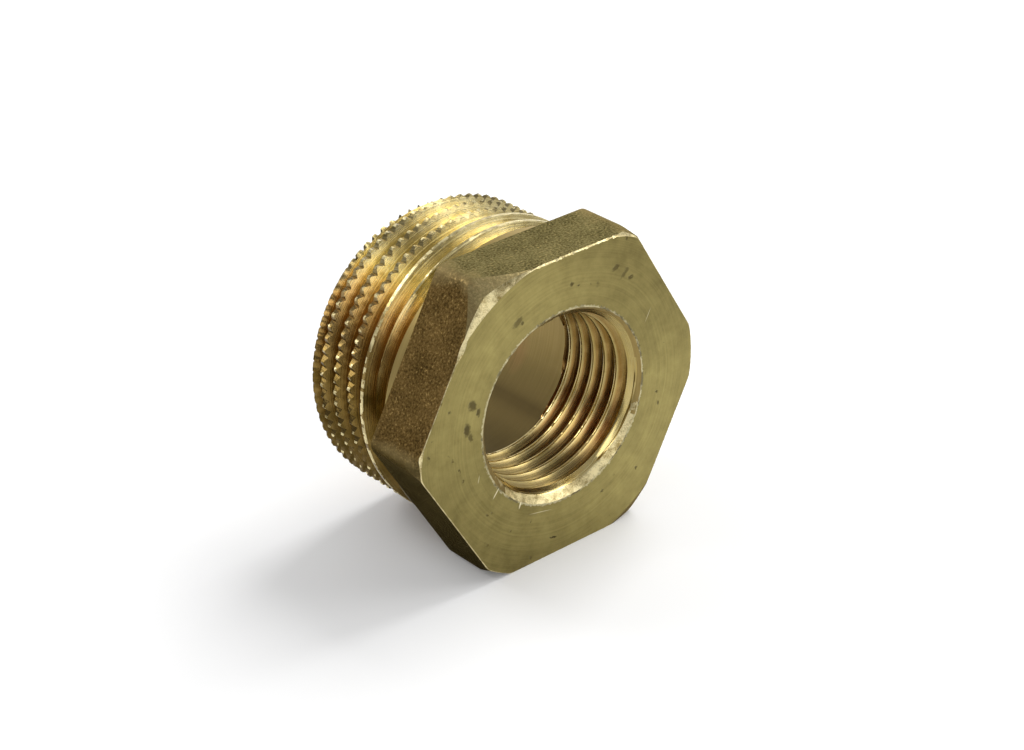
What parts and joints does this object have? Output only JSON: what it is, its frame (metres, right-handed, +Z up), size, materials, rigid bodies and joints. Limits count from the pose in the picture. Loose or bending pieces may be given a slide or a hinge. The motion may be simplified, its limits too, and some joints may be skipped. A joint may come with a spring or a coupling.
{
  "type": "reducing nipple",
  "caption": "Brass hexagon reducing nipple with a large outside pipe thread and a smaller inside pipe thread through the hexagon.",
  "frame": {"origin": "on the common axis of both threads, in the plane of the hexagon's front face", "axes": "+Y along the axis from the front face towards the outside thread's free end, +Z up, square to the flat opposite the one the fitting lies on"},
  "size_m": [0.0388, 0.0218, 0.034],
  "materials": {
    "brass": "turned threads and face, raw forged flats"
  },
  "bodies": {
    "root": {"reducing_nipple": "brass"}
  },
  "joints": []
}
